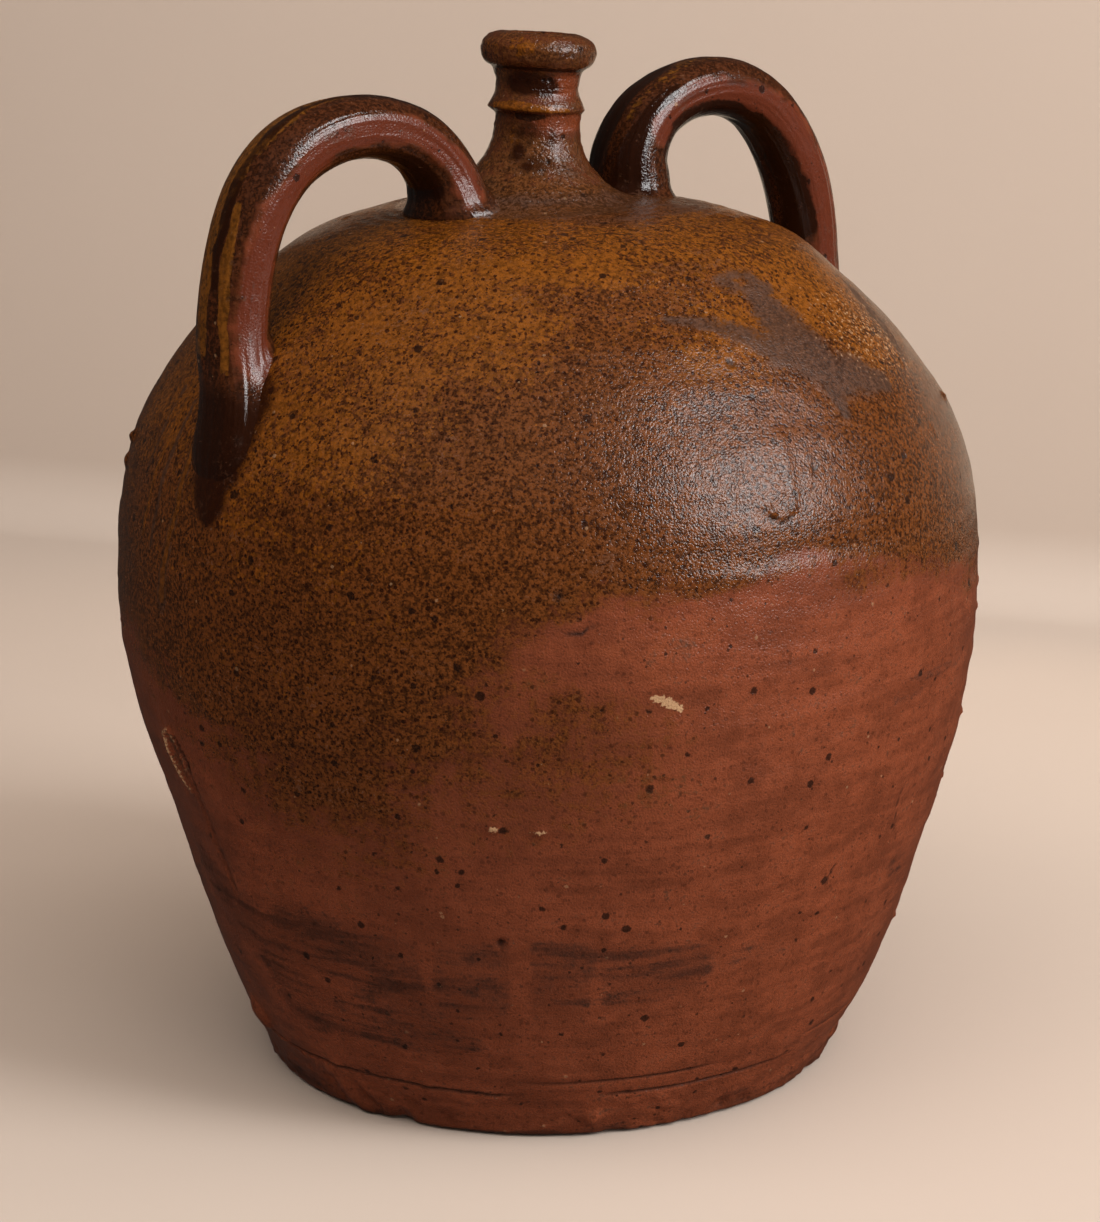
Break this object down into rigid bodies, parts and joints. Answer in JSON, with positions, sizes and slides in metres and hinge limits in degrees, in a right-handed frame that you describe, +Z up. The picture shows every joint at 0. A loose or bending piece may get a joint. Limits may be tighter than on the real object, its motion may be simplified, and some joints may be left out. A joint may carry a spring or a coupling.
{
  "type": "two-handled stoneware liquor jar",
  "caption": "Glazed stoneware liquor jar with a round belly, a narrow beaded neck, a rolled open lip and strap handles arching over the shoulder.",
  "frame": {"origin": "centre of the foot, on the surface that the jar stands on", "axes": "+Z up the turned axis; -Y towards the picture's camera, +X to its right"},
  "size_m": [0.398, 0.398, 0.4705],
  "materials": {
    "bare_clay": "unglazed fired stoneware, rough and sooty",
    "red_slip": "brick-red iron slip with a low sheen, pits and iron spots",
    "ash_glaze": "ochre ash glaze breaking to dark brown, orange-peel sheen",
    "neck_glaze": "glossy brown and ochre glaze",
    "strap_glaze": "glossy dark brown glaze with ochre streaks, red at the sides"
  },
  "bodies": {
    "root": {"base_disc": "bare_clay", "lower_wall": "red_slip", "upper_wall": "ash_glaze", "neck": "neck_glaze", "handle_left": "strap_glaze", "handle_right": "strap_glaze"}
  },
  "joints": []
}
